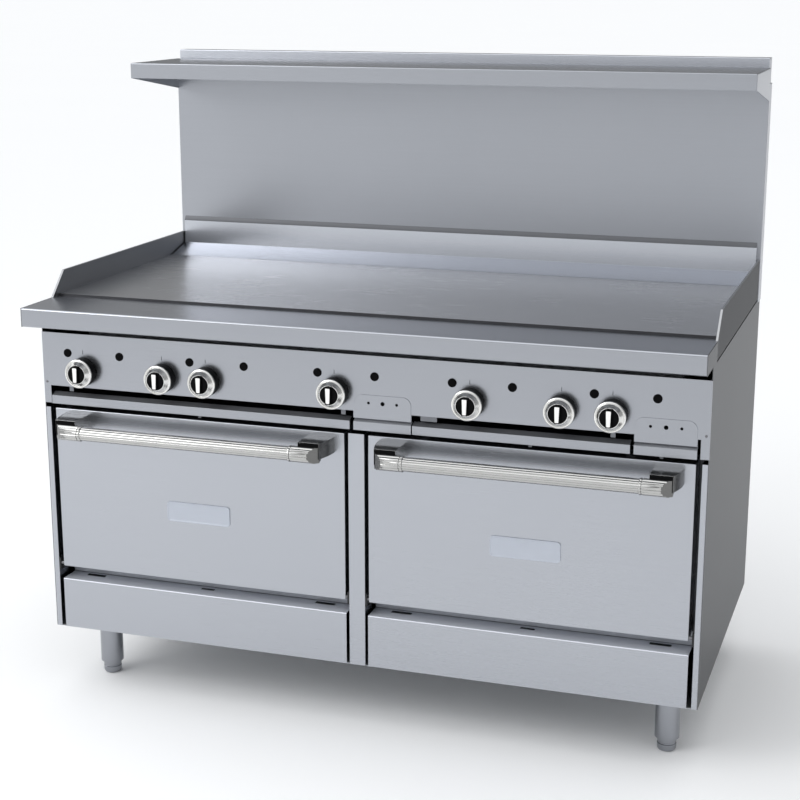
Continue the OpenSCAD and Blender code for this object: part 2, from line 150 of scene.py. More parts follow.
class Value:
    """A shader socket whose Python operators add Math nodes."""

    def __init__(self, nodes, socket):
        self.nodes = nodes
        self.socket = socket

    def _math(self, operation, first, second=None):
        inputs = {0: first} if second is None else {0: first, 1: second}
        return self.nodes.node("ShaderNodeMath", {"operation": operation}, inputs)

    def __add__(self, other):
        return self._math("ADD", self, other)

    def __radd__(self, other):
        return self._math("ADD", other, self)

    def __rsub__(self, other):
        return self._math("SUBTRACT", other, self)

    def __mul__(self, other):
        return self._math("MULTIPLY", self, other)

    def __rmul__(self, other):
        return self._math("MULTIPLY", other, self)

    def above(self, edge):
        return self._math("GREATER_THAN", self, edge)

    def between(self, low, high):
        """0 below low, 1 above high, and a straight ramp from one to the other."""
        inputs = {"Value": self, "From Min": low, "From Max": high}
        return self.nodes.node("ShaderNodeMapRange", {"clamp": True}, inputs)


class Nodes:
    """A node tree that is filled by calls."""

    def __init__(self, tree):
        self.tree = tree
        self.tree.nodes.clear()

    def node(self, kind, settings=None, inputs=None, output=0):
        """Adds a node, applies its settings, then sets or links its sockets, and returns one output."""
        made = self.tree.nodes.new(kind)
        for key, value in (settings or {}).items():
            setattr(made, key, value)
        for key, value in (inputs or {}).items():
            socket = made.inputs[key]
            if isinstance(value, Value):
                self.tree.links.new(value.socket, socket)
            else:
                socket.default_value = value
        return Value(self, made.outputs[output]) if made.outputs else None

    def mix(self, first, second, factor):
        """Colour first where factor is 0, and second where it is 1."""
        colours = [c if isinstance(c, Value) else (*c, 1.0) for c in (first, second)]
        inputs = {0: factor, 6: colours[0], 7: colours[1]}
        return self.node("ShaderNodeMix", {"data_type": "RGBA"}, inputs, 2)


class Paint(Nodes):
    """One material, with the nodes that make it."""

    def __init__(self, name):
        self.material = bpy.data.materials.new(name)
        self.material.use_nodes = True
        super().__init__(self.material.node_tree)
        self.place = self.node("ShaderNodeTexCoord", output="Object")

    def stretched(self, scale):
        """The object's own coordinates, scaled along each axis."""
        inputs = {"Vector": self.place, "Scale": scale}
        return self.node("ShaderNodeMapping", {"vector_type": "POINT"}, inputs)

    def noise(self, scale, detail=2.0, vector=None, roughness=0.5):
        inputs = {"Vector": vector or self.place, "Scale": scale, "Detail": detail, "Roughness": roughness}
        return self.node("ShaderNodeTexNoise", {}, inputs)

    def cells(self, scale, output="Distance"):
        return self.node("ShaderNodeTexVoronoi", {}, {"Vector": self.place, "Scale": scale}, output)

    def bump(self, height, distance, strength=1.0):
        inputs = {"Height": height, "Distance": distance, "Strength": strength}
        return self.node("ShaderNodeBump", {}, inputs)

    def finish(self, **inputs):
        """Adds the surface shader and the output. Names use underscores for spaces."""
        sockets = {}
        for key, value in inputs.items():
            sockets[key.replace("_", " ")] = (*value, 1.0) if isinstance(value, tuple) else value
        shader = self.node("ShaderNodeBsdfPrincipled", {}, sockets, "BSDF")
        self.node("ShaderNodeOutputMaterial", {}, {"Surface": shader})
        return self.material


def shade(colour, factor):
    """A colour made lighter or darker."""
    return tuple(channel * factor for channel in colour)


# ---- Finishes ----


def grain_scale(axis, along, across):
    """Mapping scale of a grain that runs along one axis."""
    return tuple(along if name == axis else across for name in AXES)


def brushed_metal(name, colour, axis, roughness, metallic=1.0, edge=1.0):
    """Satin stainless with a very fine grain along one axis and soft smudges; edge is its glancing tint."""
    paint = Paint(name)
    fine = paint.noise(1.0, 3.0, paint.stretched(grain_scale(axis, 14, 2400)))
    streaks = paint.noise(1.0, 2.0, paint.stretched(grain_scale(axis, 2.5, 260)))
    smudge = paint.noise(1.7, 3.0)
    tone = 0.3 * streaks + 0.3 * fine + 0.4 * smudge
    tint = paint.mix(shade(colour, 0.98), shade(colour, 1.02), tone.between(0.35, 0.65))
    rough = roughness - 0.02 + 0.02 * fine + 0.02 * smudge
    glancing = (edge, edge, edge)
    normal = paint.bump(fine, 0.00001, 0.2)
    return paint.finish(
        Base_Color=tint, Metallic=metallic, Roughness=rough, Specular_Tint=glancing, Normal=normal
    )


def ground_plate(name, colour):
    """Griddle plate: cross-ground steel with a slightly mottled, lightly heated surface."""
    paint = Paint(name)
    lengthwise = paint.noise(1.0, 3.0, paint.stretched((9, 1100, 1100)))
    crosswise = paint.noise(1.0, 3.0, paint.stretched((900, 7, 900)))
    mottle = paint.noise(4.0, 4.0, roughness=0.6)
    tone = 0.3 * lengthwise + 0.2 * crosswise + 0.5 * mottle
    tint = paint.mix(shade(colour, 0.94), shade(colour, 1.05), tone.between(0.3, 0.7))
    rough = 0.22 + 0.05 * mottle + 0.04 * lengthwise
    normal = paint.bump(lengthwise + crosswise, 0.00002, 0.3)
    return paint.finish(Base_Color=tint, Metallic=0.92, Roughness=rough, Normal=normal)


def bright_metal(name, colour, roughness):
    """Polished metal with hairline polishing marks and faint fingerprints."""
    paint = Paint(name)
    marks = paint.noise(1.0, 3.0, paint.stretched((30, 1400, 1400)))
    smudge = paint.noise(14.0, 4.0)
    tint = paint.mix(shade(colour, 0.95), colour, smudge.between(0.35, 0.6))
    rough = roughness + 0.03 * marks + 0.03 * smudge
    normal = paint.bump(marks, 0.00001, 0.15)
    return paint.finish(Base_Color=tint, Metallic=1.0, Roughness=rough, Normal=normal)


def moulded_plastic(name, colour, roughness):
    """Black moulded plastic with a fine texture and worn, slightly lighter patches."""
    paint = Paint(name)
    texture = paint.noise(1800.0, 2.0)
    wear = paint.noise(60.0, 4.0)
    tint = paint.mix(colour, shade(colour, 2.0), wear.between(0.45, 0.8))
    rough = roughness + 0.1 * wear
    normal = paint.bump(texture, 0.00003, 0.3)
    return paint.finish(Base_Color=tint, Roughness=rough, Normal=normal, Specular_IOR_Level=0.06)


def speckled_enamel(name, colour):
    """Baked oven enamel: glossy, dark, with pale specks."""
    paint = Paint(name)
    specks = 1.0 - paint.cells(420.0).between(0.10, 0.22)
    chosen = paint.noise(150.0, 1.0).above(0.52)
    waves = paint.noise(16.0, 3.0)
    tint = paint.mix(colour, (0.30, 0.34, 0.38), specks * chosen)
    rough = 0.16 + 0.14 * waves
    return paint.finish(Base_Color=tint, Roughness=rough, Normal=paint.bump(waves, 0.0006, 0.3))


def zinc_sheet(name):
    """Galvanised sheet with its frosted crystal pattern."""
    paint = Paint(name)
    crystals = paint.cells(55.0, output="Color")
    grey = paint.node("ShaderNodeRGBToBW", {}, {"Color": crystals})
    haze = paint.noise(7.0, 4.0)
    tone = 0.7 * grey + 0.3 * haze
    tint = paint.mix((0.30, 0.31, 0.33), (0.44, 0.46, 0.48), tone)
    return paint.finish(Base_Color=tint, Metallic=0.85, Roughness=0.38 + 0.2 * tone)


def cast_metal(name, colour, metallic, roughness):
    """Rough cast or drawn metal with pits and stains."""
    paint = Paint(name)
    pits = paint.noise(420.0, 4.0)
    stains = paint.noise(18.0, 4.0)
    tint = paint.mix(shade(colour, 0.7), shade(colour, 1.25), stains)
    rough = roughness + 0.15 * pits
    return paint.finish(
        Base_Color=tint, Metallic=metallic, Roughness=rough, Normal=paint.bump(pits, 0.0003, 0.6)
    )


def fibre_seal(name):
    """Woven black door seal."""
    paint = Paint(name)
    weave = paint.cells(900.0)
    tint = paint.mix((0.008, 0.008, 0.009), (0.035, 0.035, 0.037), weave.between(0.1, 0.6))
    return paint.finish(Base_Color=tint, Roughness=0.85, Normal=paint.bump(weave, 0.0004, 0.8))


def badge_metal(name, colour):
    """Pale satin badge plate."""
    paint = Paint(name)
    grain = paint.noise(1.0, 3.0, paint.stretched((20, 1500, 1500)))
    haze = paint.noise(25.0, 3.0)
    tint = paint.mix(shade(colour, 0.96), shade(colour, 1.04), (0.6 * grain + 0.4 * haze).between(0.3, 0.7))
    normal = paint.bump(grain, 0.00002, 0.3)
    return paint.finish(Base_Color=tint, Metallic=0.4, Roughness=0.34 + 0.08 * grain, Normal=normal)


def studio_floor(name):
    """Pale matt studio floor."""
    paint = Paint(name)
    haze = paint.noise(0.35, 3.0)
    tint = paint.mix((0.965, 0.965, 0.97), (0.98, 0.98, 0.98), haze)
    return paint.finish(Base_Color=tint, Roughness=0.8 + 0.1 * haze, Specular_IOR_Level=0.1)


FINISH = {}


def make_finishes(colours):
    """Makes every material once, keyed by a plain name. Several are lighter or darker copies of the stainless
    or of the handle metal that paint in light and shade.
    """
    stainless = tuple(colours.stainless)
    bright = tuple(colours.bright)
    black = tuple(colours.knob)
    FINISH["panel"] = brushed_metal("satin_stainless", stainless, "X", 0.27)
    # Painted shade: a darker copy of the satin stainless for the rail, the control panel, its cover plates
    # and the trays.
    FINISH["front"] = brushed_metal("painted_shade_front_stainless", shade(stainless, 0.84), "X", 0.27)
    # Painted shade: the side panels' darker colour and weaker glancing tint stand in for the shade on the
    # sides.
    FINISH["side"] = brushed_metal("painted_shade_side_stainless", tuple(colours.side), "Y", 0.34, edge=0.6)
    # Painted shade: a slightly darker copy of the stainless for the backguard and the shelf.
    FINISH["guard"] = brushed_metal("painted_shade_backguard_stainless", shade(stainless, 0.9), "X", 0.30)
    # Painted light: a lighter copy of the stainless for the rear splash strip and the backguard's upper
    # front.
    FINISH["riser"] = brushed_metal("painted_light_riser_stainless", shade(stainless, 1.35), "X", 0.26)
    # Painted shade: the splashes' outer faces take the darkened side colour and a weak glancing tint.
    FINISH["flank"] = brushed_metal("painted_shade_splash_outside", tuple(colours.side), "Y", 0.34, edge=0.35)
    # Painted shade: a darker copy of the stainless for the splashes' inner faces.
    FINISH["splash"] = brushed_metal("painted_shade_splash_stainless", tuple(colours.splash), "Y", 0.32)
    # Painted shade: a darker, half-diffuse copy of the stainless for the sloping sills and the oven sills.
    FINISH["ledge"] = brushed_metal("painted_shade_ledge_stainless", shade(stainless, 0.95), "X", 0.5, 0.5)
    # Painted light: a lighter, half-diffuse copy of the stainless for the kick panels' upward faces.
    FINISH["flange"] = brushed_metal("painted_light_flange_stainless", shade(stainless, 1.7), "X", 0.5, 0.5)
    # Painted shade: a darker copy of the stainless for the upward faces of the rail and the rear strip.
    FINISH["crest"] = brushed_metal("painted_shade_crest_stainless", shade(stainless, 0.92), "X", 0.27)
    # Painted shadow: a much darker, half-diffuse copy of the stainless for the tray slopes and the rear
    # strip's top slope.
    FINISH["painted_recess_shadow"] = brushed_metal("painted_shadow_stainless", shade(stainless, 0.35), "X", 0.5, 0.5)
    # Painted shade: a darker copy of the stainless, with a weaker glancing tint, for upward faces.
    FINISH["top"] = brushed_metal("shaded_stainless", shade(stainless, 0.68), "X", 0.27, edge=0.8)
    # Painted shade: a darker copy of the stainless for the tabs in the tray slots and the catches over the
    # doors.
    FINISH["tab"] = brushed_metal("painted_shade_tab_stainless", shade(stainless, 0.45), "Z", 0.4)
    # Painted shade: a darker copy of the stainless for the legs and feet.
    FINISH["leg"] = brushed_metal("leg_tube", shade(stainless, 0.75), "Z", 0.12)
    FINISH["griddle"] = ground_plate("ground_griddle", tuple(colours.griddle))
    # Painted shade: near-black steel for the griddle plate's front face.
    FINISH["edge"] = cast_metal("painted_shade_plate_front", (0.06, 0.06, 0.065), 0.8, 0.4)
    FINISH["bright"] = bright_metal("polished_handle", bright, 0.14)
    # Painted shade: a much darker copy of the handle metal for the outer sides and mitres of the handle ends.
    FINISH["socket"] = bright_metal("painted_shade_handle_end", shade(bright, 0.36), 0.24)
    FINISH["ring"] = bright_metal("satin_ring", shade(bright, 1.6), 0.22)
    FINISH["insert"] = bright_metal("knob_insert", shade(bright, 1.85), 0.25)
    FINISH["knob"] = moulded_plastic("knob_black", black, 0.42)
    FINISH["plug"] = moulded_plastic("plug_black", black, 0.55)
    FINISH["badge"] = badge_metal("badge_plate", tuple(colours.badge))
    FINISH["enamel"] = speckled_enamel("oven_enamel", tuple(colours.enamel))
    FINISH["zinc"] = zinc_sheet("galvanised")
    FINISH["iron"] = cast_metal("black_iron", (0.03, 0.03, 0.032), 0.5, 0.5)
    FINISH["brass"] = cast_metal("valve_brass", (0.55, 0.38, 0.14), 1.0, 0.28)
    FINISH["alloy"] = cast_metal("die_cast_alloy", (0.42, 0.43, 0.44), 0.9, 0.36)
    FINISH["wire"] = bright_metal("rack_wire", shade(bright, 1.2), 0.2)
    FINISH["screw"] = cast_metal("zinc_screw", (0.20, 0.20, 0.21), 0.95, 0.3)
    FINISH["seal"] = fibre_seal("door_seal")
    FINISH["floor"] = studio_floor("studio_floor")


# ---- Modelling by hand ----


def deselect():
    if bpy.context.mode != "OBJECT":
        bpy.ops.object.mode_set(mode="OBJECT")
    bpy.ops.object.select_all(action="DESELECT")


def only(obj):
    """Makes obj the one selected and active object."""
    deselect()
    obj.select_set(True)
    bpy.context.view_layer.objects.active = obj


def settle(obj):
    """Puts the object's place, turn and scale into its mesh."""
    only(obj)
    bpy.ops.object.transform_apply(location=True, rotation=True, scale=True)
    return obj


def fresh(name):
    obj = bpy.context.active_object
    obj.name = name
    obj.data.name = name
    return obj


def at(depth):
    """The Y of a depth in millimetres behind the door faces."""
    return FRONT_Y + depth * MM


def box(name, first, second):
    """A box between two opposite corners."""
    low = Vector(min(pair) for pair in zip(first, second))
    high = Vector(max(pair) for pair in zip(first, second))
    deselect()
    bpy.ops.mesh.primitive_cube_add(size=1.0, location=(low + high) / 2)
    obj = fresh(name)
    obj.scale = high - low
    return settle(obj)


def pick(obj, kind, test):
    """In edit mode, selects only the points, edges or faces that pass a test."""
    mesh = bmesh.from_edit_mesh(obj.data)
    for group in (mesh.faces, mesh.edges, mesh.verts):
        for part in group:
            part.select = False
    bpy.context.tool_settings.mesh_select_mode = (kind == "VERT", kind == "EDGE", kind == "FACE")
    found = {"VERT": mesh.verts, "EDGE": mesh.edges, "FACE": mesh.faces}[kind]
    for part in found:
        if kind == "FACE":
            chosen = test(part.calc_center_median(), part.normal)
        elif kind == "EDGE":
            start, end = (v.co for v in part.verts)
            chosen = len(part.link_faces) == 2 and test((start + end) / 2, (end - start).normalized())
        else:
            chosen = test(part.index, part.co)
        if chosen:
            part.select = True
    mesh.select_flush_mode()
    bmesh.update_edit_mesh(obj.data)


def turned(name, profile, axis, start, segments=48, closed=False, groove=0.0):
    """A turned part: a circle extruded and scaled through (radius, distance) steps along an axis from start.

    With a groove depth, every fourth point of the circle is drawn in, so that the part is fluted.
    """
    deselect()
    radius, height = profile[0]
    fill = "NOTHING" if closed else "NGON"
    start_point = (0, 0, height)
    bpy.ops.mesh.primitive_circle_add(
        vertices=segments, radius=radius, fill_type=fill, location=start_point
    )
    obj = settle(fresh(name))
    bpy.ops.object.mode_set(mode="EDIT")
    if groove:
        pick(obj, "VERT", lambda index, spot: index % 4 == 0)
        share = 1 - groove / radius
        bpy.ops.transform.resize(value=(share, share, 1), center_override=start_point)
    bpy.ops.mesh.select_all(action="SELECT")
    steps = profile[1:] + profile[:1] if closed else profile[1:]
    for next_radius, next_height in steps:
        lift = {"value": (0, 0, next_height - height)}
        bpy.ops.mesh.extrude_region_move(TRANSFORM_OT_translate=lift)
        share = next_radius / radius
        bpy.ops.transform.resize(value=(share, share, 1), center_override=(0, 0, next_height))
        radius, height = next_radius, next_height
    bpy.ops.mesh.select_all(action="SELECT")
    bpy.ops.mesh.remove_doubles(threshold=0.000002)
    bpy.ops.mesh.normals_make_consistent(inside=False)
    bpy.ops.object.mode_set(mode="OBJECT")
    obj.rotation_mode = "QUATERNION"
    obj.rotation_quaternion = Vector((0, 0, 1)).rotation_difference(Vector(axis))
    obj.location = start
    return settle(obj)


def in_mm(steps):
    """A profile given in millimetres, in metres."""
    return [(radius * MM, distance * MM) for radius, distance in steps]


def modify(obj, kind, **settings):
    """Adds one modifier with its settings and applies it."""
    only(obj)
    made = obj.modifiers.new(kind.title(), kind)
    for key, value in settings.items():
        setattr(made, key, value)
    bpy.ops.object.modifier_apply(modifier=made.name)
    return obj


def soften(obj, width, segments=2, angle=30.0):
    """Rounds the edges sharper than an angle a little and keeps the flat faces flat in their shading."""
    if width:
        limit = math.radians(angle)
        modify(obj, "BEVEL", width=width, segments=segments, limit_method="ANGLE", angle_limit=limit)
    only(obj)
    bpy.ops.object.shade_smooth_by_angle(angle=math.radians(48))
    return modify(obj, "WEIGHTED_NORMAL", weight=50, keep_sharp=True)


def round_edges(obj, width, segments, test):
    """Bevels the edges that pass a test: one segment makes a chamfer, more make a round."""
    only(obj)
    bpy.ops.object.mode_set(mode="EDIT")
    pick(obj, "EDGE", test)
    bpy.ops.mesh.bevel(offset=width, segments=segments, affect="EDGES")
    bpy.ops.object.mode_set(mode="OBJECT")
    return obj


def side_of(normal, names):
    """True if a face's normal points to one of the named sides, such as +Y."""
    for name in names:
        sign = 1 if name[0] == "+" else -1
        if normal[AXES[name[1]]] * sign > 0.9:
            return True
    return False


def folded(name, low, high, opened, fold, thick, reshape=None, segments=4):
    """A folded sheet: a box without the opened sides, its folds rounded, given its thickness inwards."""
    obj = box(name, low, high)
    bpy.ops.object.mode_set(mode="EDIT")
    pick(obj, "FACE", lambda middle, normal: side_of(normal, opened))
    bpy.ops.mesh.delete(type="FACE")
    if reshape:
        reshape(obj)
    pick(obj, "EDGE", lambda middle, along: True)
    bpy.ops.mesh.bevel(offset=fold, segments=segments, affect="EDGES", clamp_overlap=True)
    bpy.ops.object.mode_set(mode="OBJECT")
    modify(obj, "SOLIDIFY", thickness=thick, offset=-1.0, use_even_offset=True)
    return soften(obj, 0)


def joined(name, parts):
    """Joins pieces into the first one."""
    deselect()
    for part in parts:
        part.select_set(True)
    bpy.context.view_layer.objects.active = parts[0]
    bpy.ops.object.join()
    return fresh(name)


def cut(obj, tool):
    """Cuts a tool out of obj and removes the tool."""
    modify(obj, "BOOLEAN", operation="DIFFERENCE", solver="EXACT", object=tool)
    bpy.data.objects.remove(tool)
    return obj


def from_node(node, name):
    """A merged copy of a CAD node's mesh, with its flat faces whole again."""
    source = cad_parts[node]
    obj = bpy.data.objects.new(name, source.data.copy())
    bpy.context.scene.collection.objects.link(obj)
    obj.data.materials.clear()
    only(obj)
    bpy.ops.object.mode_set(mode="EDIT")
    bpy.ops.mesh.select_all(action="SELECT")
    bpy.ops.mesh.remove_doubles(threshold=0.00001)
    bpy.ops.mesh.customdata_custom_splitnormals_clear()
    bpy.ops.mesh.dissolve_limited(angle_limit=math.radians(1.0))
    bpy.ops.object.mode_set(mode="OBJECT")
    return obj


def duplicate(obj, name, move):
    """A copy with its own mesh, moved."""
    twin = obj.copy()
    twin.data = obj.data.copy()
    twin.name = name
    twin.data.name = name
    bpy.context.scene.collection.objects.link(twin)
    twin.data.transform(Matrix.Translation(move))
    return twin


def place(obj, finish, body, slot, *nodes):
    """Gives a finished piece its material, the body it rides on and the CAD nodes it stands for; its slot
    argument is not used.
    """
    obj.data.materials.clear()
    obj.data.materials.append(FINISH[finish])
    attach(obj, body)
    if nodes:
        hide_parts(*nodes)
    return obj


def refinish(obj, finish, test):
    """Gives the faces that pass a test a finish of their own."""
    obj.data.materials.append(FINISH[finish])
    last = len(obj.data.materials) - 1
    for face in obj.data.polygons:
        if test(face.center, face.normal):
            face.material_index = last


def dress(node, finish):
    """Gives a CAD node that stays visible a better material."""
    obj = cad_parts[node]
    if not obj.material_slots:
        obj.data.materials.append(FINISH[finish])
    for material_slot in obj.material_slots:
        material_slot.material = FINISH[finish]


# ---- Body ----


def side_panels():
    for side in SIDES:
        node = f"side_panel_{side}"
        obj = soften(from_node(node, f"side_sheet_{side}"), 0.4 * MM)
        # Painted shade: the side panels get the darker side finish.
        place(obj, "side", BODY, "stainless_sheet", node)


def posts(sizes):
    for side, sign in SIDES.items():
        node = f"front_post_{side}"
        low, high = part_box(node)
        outer = "-X" if sign < 0 else "+X"
        obj = folded(f"post_{side}", low, high, ("+Y", "+Z", "-Z", outer), sizes.fold / 2, sizes.sheet)
        place(obj, "panel", BODY, "stainless_sheet", node)
    low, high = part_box("front_post_center")
    obj = folded("post_center", low, high, ("+Y", "+Z", "-Z"), sizes.fold / 2, sizes.sheet)
    place(obj, "panel", BODY, "stainless_sheet", "front_post_center")


def kick_panels(sizes):
    """The panels below the doors, whose top flanges have three slots, and the sills behind them."""
    slots = ((-286, 46, 34, 46), (286, 46, 34, 46), (0, 32, 33, 42))
    for side in SIDES:
        node = f"kick_panel_{side}"
        low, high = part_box(node)
        obj = folded(f"kick_{side}", low, high, ("+Y", "-Z", "-X", "+X"), sizes.fold, sizes.sheet)
        door_low, door_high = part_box(f"door_skin_{side}")
        middle = (door_low.x + door_high.x) / 2
        cutters = []
        for offset, width, front, back in slots:
            x = middle + offset * MM
            half = width * MM / 2
            start = (x - half, at(front), high.z - CUT)
            cutters.append(box("slot", start, (x + half, at(back), high.z + CUT)))
        cut(obj, joined("slots", cutters))
        soften(obj, 0)
        place(obj, "panel", BODY, "stainless_sheet", node)
        # Painted light: the upward faces of the flange get the lighter flange copy.
        refinish(obj, "flange", lambda middle, normal: normal.z > 0.1)
        start = (low.x, at(52.8), high.z + 1 * MM)
        sill = box(f"oven_sill_{side}", start, (high.x, at(53.3), door_low.z + 2 * MM))
        # Painted shade: the oven sill gets the darker, half-diffuse ledge copy.
        place(soften(sill, 0.2 * MM), "ledge", BODY, "stainless_sheet")


def front_rail():
    """The rail along the top front, with a wider round under its front face."""
    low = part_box("front_rail")[0]
    obj = from_node("front_rail", "rail_shell")
    corner = Vector((low.y, low.z))
    round_edges(
        obj, 4.0 * MM, 6, lambda middle, along: abs(along.x) > 0.99 and (middle.yz - corner).length < 0.0005
    )
    # Painted shade: the rail gets the darker front copy of the stainless.
    place(soften(obj, 0.3 * MM), "front", BODY, "stainless_sheet", "front_rail")
    # Painted shade: the rail's upward faces get the darker crest copy.
    refinish(obj, "crest", lambda middle, normal: normal.z > 0.3)


def rolled_slope(middle, normal):
    """True on the sloping top of a tray's front and of the sills between the trays."""
    return normal.y < -0.2 and normal.z > 0.6 and middle.z < TRAY_TOP


def control_panel():
    obj = soften(from_node("control_panel", "control_sheet"), 0.3 * MM)
    # Painted shade: the control panel gets the darker front copy of the stainless.
    place(obj, "front", BODY, "stainless_sheet", "control_panel")
    # Painted shade: the sloping sills between the trays get the darker ledge copy.
    refinish(obj, "ledge", rolled_slope)
    plates = soften(from_node("cover_plates", "valve_cover_plates"), 0.25 * MM)
    # Painted shade: the cover plates get the darker front copy of the stainless.
    place(plates, "front", BODY, "stainless_sheet", "cover_plates")


def middle_of(node):
    low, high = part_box(node)
    return (low + high) / 2


def index_marks():
    """A thin engraved line above each knob."""
    parts = []
    for knob in KNOBS:
        spot = middle_of(knob)
        x = spot.x
        z = spot.z + 44 * MM
        start = (x - 0.5 * MM, at(-0.15), z - 4.5 * MM)
        parts.append(box("mark", start, (x + 0.5 * MM, at(0.1), z + 4.5 * MM)))
    place(joined("index_marks", parts), "plug", BODY, "black_plastic")


def tray_stops():
    """Small folded tabs that hang into the tray slots, and the catches in the gap over the doors."""
    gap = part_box("door_skin_left")[1].z
    spots = [(x, half, 2.0, TRAY_TOP + 5 * MM, 12) for x, half in ((-682, 5), (-29, 5), (162, 18), (554, 5))]
    spots += [(x, 3.5, 9.0, gap + 3 * MM, 4) for x in (-370, 380, 653)]
    parts = []
    for x, half, depth, z, height in spots:
        start = ((x - half) * MM, at(depth), z)
        tab = box("tab", start, ((x + half) * MM, at(depth + 1.2), z + height * MM))
        parts.append(round_edges(tab, 1.0 * MM, 3, lambda middle, along: abs(along.y) > 0.9))
    obj = soften(joined("tray_stops", parts), 0)
    # Painted shade: the tabs and catches get the darker tab copy.
    place(obj, "tab", BODY, "stainless_sheet")


def hole_plugs():
    low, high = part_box("hole_plugs")
    z = (low.z + high.z) / 2
    radius = (high.z - low.z) / 2
    neck = radius - 2.6 * MM
    dome = ((1.0, 0.1), (1.0, 1.2), (0.93, 1.9), (0.74, 2.3), (0.4, 2.45))
    profile = [(neck, -6 * MM), (neck, 0.0)] + [(share * radius, step * MM) for share, step in dome]
    first = turned("plug", profile, (0, -1, 0), (0, FRONT_Y, 0), 32)
    parts = []
    for knob in KNOBS:
        if knob not in OVEN_KNOBS:
            parts += [duplicate(first, "plug", (middle_of(knob).x + step, 0, z)) for step in PLUG_STEPS]
    bpy.data.objects.remove(first)
    place(soften(joined("hole_plug_set", parts), 0), "plug", BODY, "black_plastic", "hole_plugs")


# ---- Griddle and back ----


def griddle():
    plate = soften(from_node("griddle_plate", "griddle_slab"), 0.6 * MM, 3)
    place(plate, "griddle", BODY, "griddle_steel", "griddle_plate")
    # Painted shade: the plate's front face gets the near-black edge finish.
    refinish(plate, "edge", lambda middle, normal: normal.y < -0.5)
    for side in SIDES:
        node = f"side_splash_{side}"
        obj = soften(from_node(node, f"splash_{side}"), 0.6 * MM, 3)
        # Painted shade: the splashes get the darker splash finish.
        place(obj, "splash", BODY, "stainless_sheet", node)
        # Painted shade: each splash's outer face gets the darkened side finish.
        refinish(obj, "flank", lambda middle, normal: normal.x * SIDES[side] > 0.8)
    riser = soften(from_node("rear_riser", "riser_sheet"), 0.4 * MM)
    # Painted light: the rear strip gets the lighter riser copy of the stainless.
    place(riser, "riser", BODY, "stainless_sheet", "rear_riser")
    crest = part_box("rear_riser")[1].z - 16 * MM
    # Painted shadow: the rear strip's top slope gets the much darker copy.
    refinish(riser, "painted_recess_shadow", lambda middle, normal: normal.z > 0.3 and middle.z > crest)
    # Painted shade: the rear strip's flat top gets the darker crest copy.
    refinish(riser, "crest", lambda middle, normal: normal.z > 0.9 and middle.z < crest)


def backguard(sizes):
    """The boxed backguard: a deep lower part, and above the shelf a part set back and slightly narrower."""
    low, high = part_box("backguard")
    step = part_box("high_shelf")[1].z - SHELF_LIP
    setback = 10 * MM
    fold = sizes.fold * 0.7
    lower = folded("backguard_box", low, (high.x, high.y, step), ("-Z",), fold, sizes.sheet)
    start = (low.x + setback / 3, low.y + setback, step + 0.1 * MM)
    end = (high.x - setback / 3, high.y, high.z)
    upper = folded("guard_top", start, end, ("-Z",), fold, sizes.sheet)
    obj = joined("backguard_box", [lower, upper])
    # Painted shade: the backguard gets the slightly darker guard copy.
    place(obj, "guard", BODY, "stainless_sheet", "backguard")
    # Painted light: the backguard's upper front gets the lighter riser copy.
    refinish(obj, "riser", lambda middle, normal: middle.z > step and normal.y < -0.5)


def high_shelf(sizes):
    low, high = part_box("high_shelf")
    lip = high.z - SHELF_LIP

    def lift_front(obj):
        """Leaves only the lip at the front, so that each end becomes a bracket."""
        near = 1 * MM
        pick(obj, "VERT", lambda index, spot: spot.z < low.z + near and spot.y < low.y + near)
        bpy.ops.transform.translate(value=(0, 0, lip - low.z))

    obj = folded("shelf_sheet", low, high, ("+Y", "-Z"), sizes.fold, sizes.sheet, lift_front)
    # Painted shade: the shelf gets the slightly darker guard copy.
    place(obj, "guard", BODY, "stainless_sheet", "high_shelf")
    # Painted shade: the shelf's top gets the darker shaded copy.
    refinish(obj, "top", lambda middle, normal: normal.z > 0.8)


# ---- Doors ----


def doors(sizes):
    """Each door: the folded outer skin, the inner panel, the seal and the badge."""
    for side in SIDES:
        body = f"door_{side}"
        low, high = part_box(f"door_skin_{side}")
        skin = folded(f"door_shell_{side}", low, high, ("+Y",), sizes.fold, sizes.sheet)
        place(skin, "panel", body, "stainless_sheet", f"door_skin_{side}")
        place(door_liner(side), "enamel", body, "oven_enamel", f"door_liner_{side}")
        seal = soften(from_node(f"door_gasket_{side}", f"door_seal_{side}"), 0.9 * MM, 3)
        place(seal, "seal", body, "gasket_black", f"door_gasket_{side}")
        place(badge_plate(side, sizes), "badge", body, "badge_aluminium", f"door_badge_{side}")


def door_liner(side):
    """The inside of a door: a flat sheet with a panel pressed into it."""
    low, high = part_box(f"door_skin_{side}")
    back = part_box(f"door_liner_{side}")[1].y
    obj = box(f"door_inner_{side}", (low.x, back - 2.5 * MM, low.z), (high.x, back, high.z))
    bpy.ops.object.mode_set(mode="EDIT")
    pick(obj, "FACE", lambda middle, normal: normal.y > 0.9)
    bpy.ops.mesh.inset(thickness=52 * MM)
    bpy.ops.mesh.inset(thickness=7 * MM)
    bpy.ops.transform.translate(value=(0, -2.0 * MM, 0))
    bpy.ops.object.mode_set(mode="OBJECT")
    return soften(obj, 0.8 * MM, 3, 12.0)


